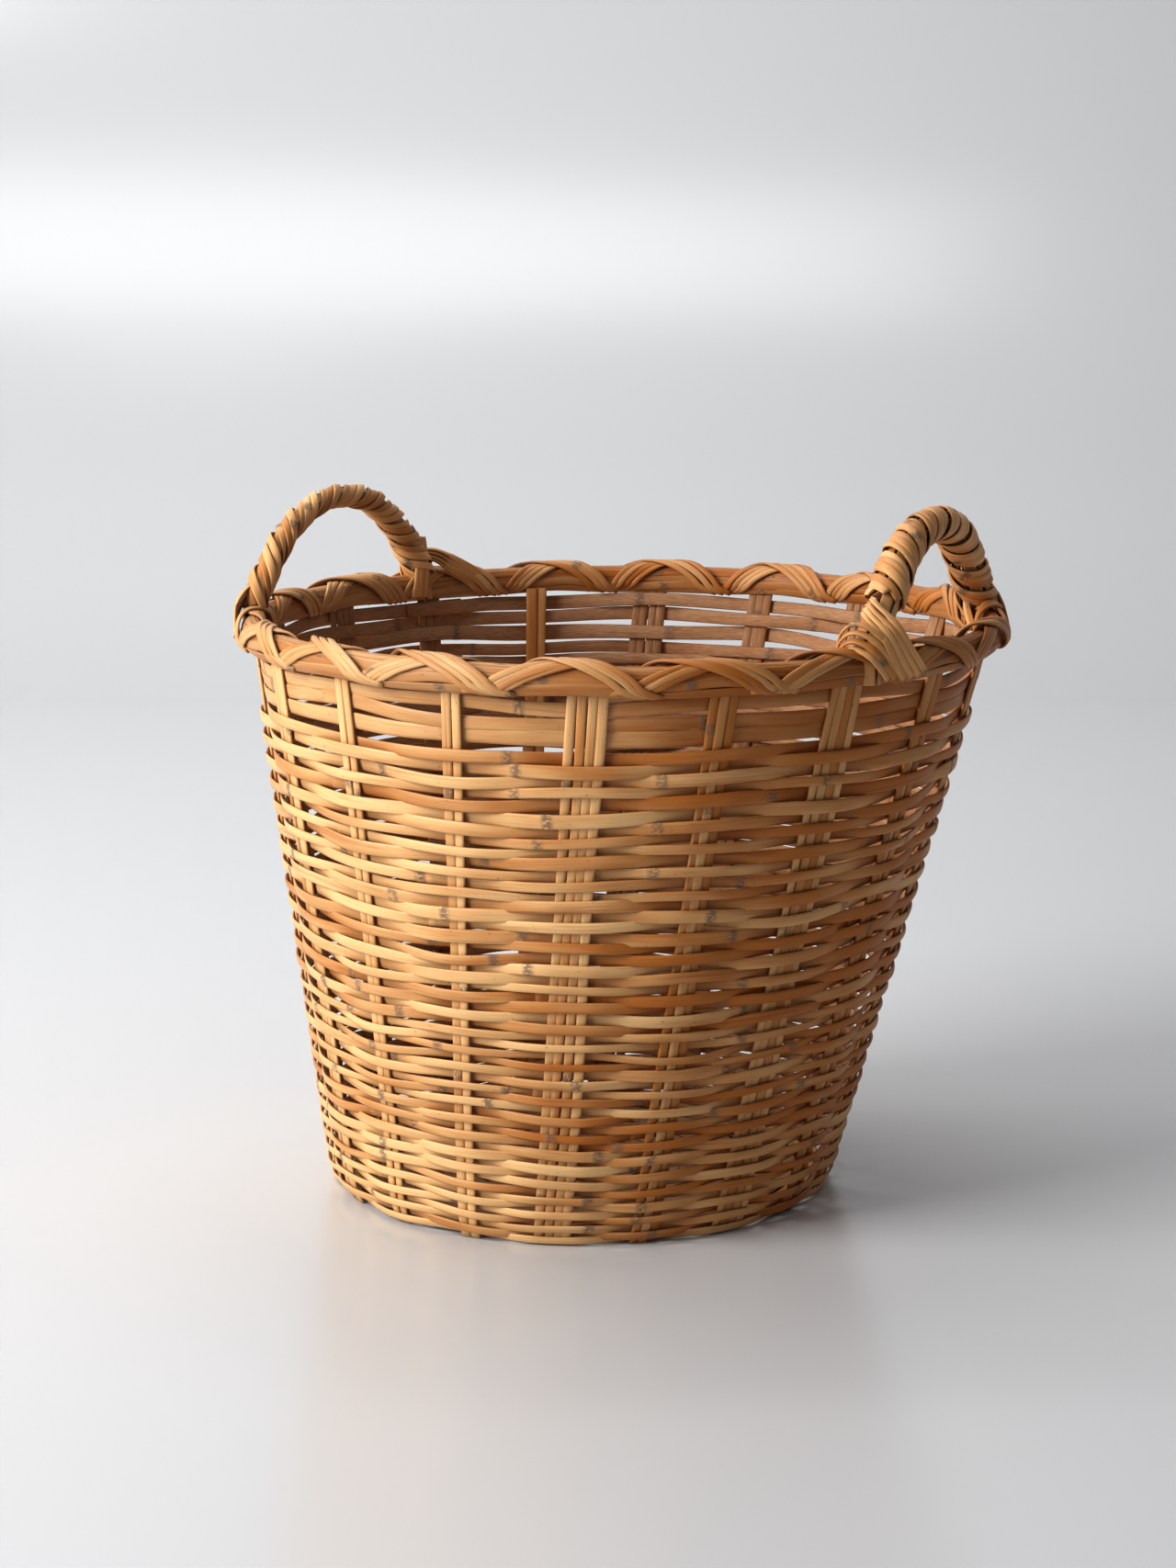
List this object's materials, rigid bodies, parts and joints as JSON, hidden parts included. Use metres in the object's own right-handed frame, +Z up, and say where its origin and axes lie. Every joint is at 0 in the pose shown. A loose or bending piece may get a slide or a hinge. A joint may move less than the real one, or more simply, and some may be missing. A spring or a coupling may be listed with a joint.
{
  "type": "basket",
  "caption": "Round woven cane basket with flared sides, an open top, a lashed border and fixed loop handles on opposite sides of its rim.",
  "frame": {"origin": "middle of the rim, dropped to the plane that the basket stands on", "axes": "+Z up; +X towards the right handle and -X towards the left one, seen from the front; the front is -Y, and the feet of both handles stand a little to the +Y side"},
  "size_m": [0.4066, 0.4025, 0.3689],
  "materials": {
    "stake_cane": "polished split cane, honey brown",
    "weaver_cane": "glossy skin outside, raw fibre inside, honey brown",
    "rim_cane": "glossy split cane, honey brown",
    "handle_cane": "glossy split cane, honey brown",
    "base_cane": "dull split cane, honey brown"
  },
  "bodies": {
    "root": {"base_hoop": "base_cane", "base_sticks_lower": "base_cane", "base_sticks_upper": "base_cane", "base_weave_inner": "base_cane", "base_weave_outer": "base_cane", "handle_left_core": "handle_cane", "handle_left_foot_back": "handle_cane", "handle_left_foot_front": "handle_cane", "handle_left_sleeve": "handle_cane", "handle_right_core": "handle_cane", "handle_right_foot_back": "handle_cane", "handle_right_foot_front": "handle_cane", "handle_right_sleeve": "handle_cane", "rim_hoop_inner": "rim_cane", "rim_hoop_outer": "rim_cane", "rim_lashings_1": "rim_cane", "rim_lashings_2": "rim_cane", "rim_lashings_3": "rim_cane", "rim_lashings_4": "rim_cane", "rim_lashings_5": "rim_cane", "rim_lashings_6": "rim_cane", "rim_top_cane": "rim_cane", "stake_01": "stake_cane", "stake_02": "stake_cane", "stake_03": "stake_cane", "stake_04": "stake_cane", "stake_05": "stake_cane", "stake_06": "stake_cane", "stake_07": "stake_cane", "stake_08": "stake_cane", "stake_09": "stake_cane", "stake_10": "stake_cane", "stake_11": "stake_cane", "stake_12": "stake_cane", "stake_13": "stake_cane", "stake_14": "stake_cane", "stake_15": "stake_cane", "stake_16": "stake_cane", "stake_17": "stake_cane", "stake_18": "stake_cane", "weaver_band_01": "weaver_cane", "weaver_band_02": "weaver_cane", "weaver_band_03": "weaver_cane", "weaver_band_04": "weaver_cane", "weaver_band_05": "weaver_cane", "weaver_band_06": "weaver_cane", "weaver_band_07": "weaver_cane", "weaver_band_08": "weaver_cane", "weaver_band_09": "weaver_cane", "weaver_band_10": "weaver_cane", "weaver_band_11": "weaver_cane", "weaver_band_12": "weaver_cane", "weaver_band_13": "weaver_cane", "weaver_band_14": "weaver_cane"}
  },
  "joints": []
}
